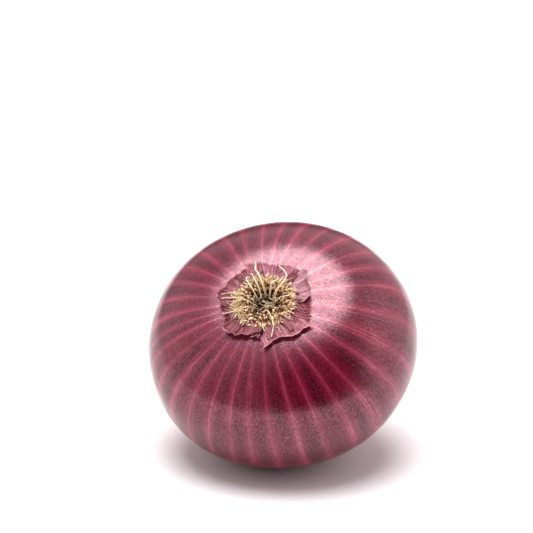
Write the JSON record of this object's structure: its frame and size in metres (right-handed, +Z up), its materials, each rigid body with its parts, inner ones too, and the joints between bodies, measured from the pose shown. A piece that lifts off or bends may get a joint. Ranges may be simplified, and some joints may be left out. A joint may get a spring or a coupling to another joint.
{
  "type": "onion",
  "caption": "Flattened red onion leaning on its belly and dried neck, its root end ringed with cream stubs, long dried roots and torn papery skin.",
  "frame": {"origin": "middle of the small flat spot under the belly, on the surface that the onion rests on", "axes": "+Z up; the root end looks up and towards -Y, with the onion's axis in the YZ plane, 37 degrees from upright; the dried neck points down and towards +Y"},
  "size_m": [0.08, 0.0726, 0.0647],
  "materials": {
    "onion_skin": "satin gloss, deep wine red with pink veins",
    "papery_skin": "thin, dry, mauve-pink with pale torn rims",
    "basal_plate": "matt, corky brown",
    "dried_root": "matt, cream with amber feet"
  },
  "bodies": {
    "root": {"bulb": "onion_skin", "basal_plate": "basal_plate", "papery_flap_1": "papery_skin", "papery_flap_2": "papery_skin", "papery_flap_3": "papery_skin", "papery_flap_4": "papery_skin", "papery_flap_5": "papery_skin", "papery_flap_6": "papery_skin", "papery_flap_7": "papery_skin", "papery_flap_8": "papery_skin", "papery_flap_9": "papery_skin", "papery_flap_10": "papery_skin", "papery_flap_11": "papery_skin", "root_strand_1": "dried_root", "root_strand_2": "dried_root", "root_strand_3": "dried_root", "root_strand_4": "dried_root", "root_strand_5": "dried_root", "root_strand_6": "dried_root", "root_strand_7": "dried_root", "root_strand_8": "dried_root", "root_strand_9": "dried_root", "root_strand_10": "dried_root"}
  },
  "joints": []
}
